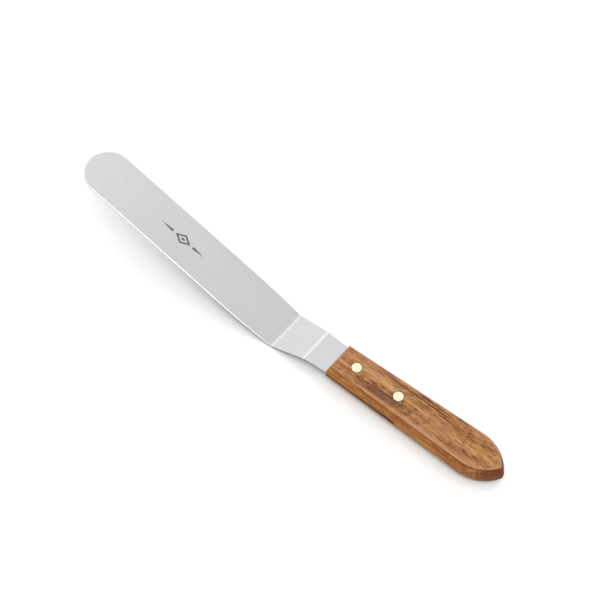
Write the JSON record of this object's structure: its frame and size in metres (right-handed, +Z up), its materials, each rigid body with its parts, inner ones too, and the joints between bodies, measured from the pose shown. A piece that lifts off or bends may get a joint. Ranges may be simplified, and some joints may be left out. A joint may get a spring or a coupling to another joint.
{
  "type": "offset palette knife",
  "caption": "Offset palette knife: round-tipped flexible steel blade with a cranked heel, its tang riveted into the saw kerf of a one-piece hardwood handle with a pointed butt.",
  "frame": {"origin": "on the table plane, under the middle of the overall length, on the middle plane of the width, with the knife lying at rest on its heel bend and the underside of its handle", "axes": "+X from the blade tip toward the butt of the handle, +Z up from the table, +Y across the blade"},
  "size_m": [0.3212, 0.032, 0.0463],
  "materials": {
    "blade_steel": "fine satin-ground stainless spring steel",
    "handle_wood": "smooth oiled reddish-brown hardwood, grain lengthwise",
    "rivet_brass": "pale brass, ground flush, satin"
  },
  "bodies": {
    "root": {"blade": "blade_steel", "handle": "handle_wood", "front_rivet_female": "rivet_brass", "front_rivet_male": "rivet_brass", "rear_rivet_female": "rivet_brass", "rear_rivet_male": "rivet_brass"}
  },
  "joints": []
}
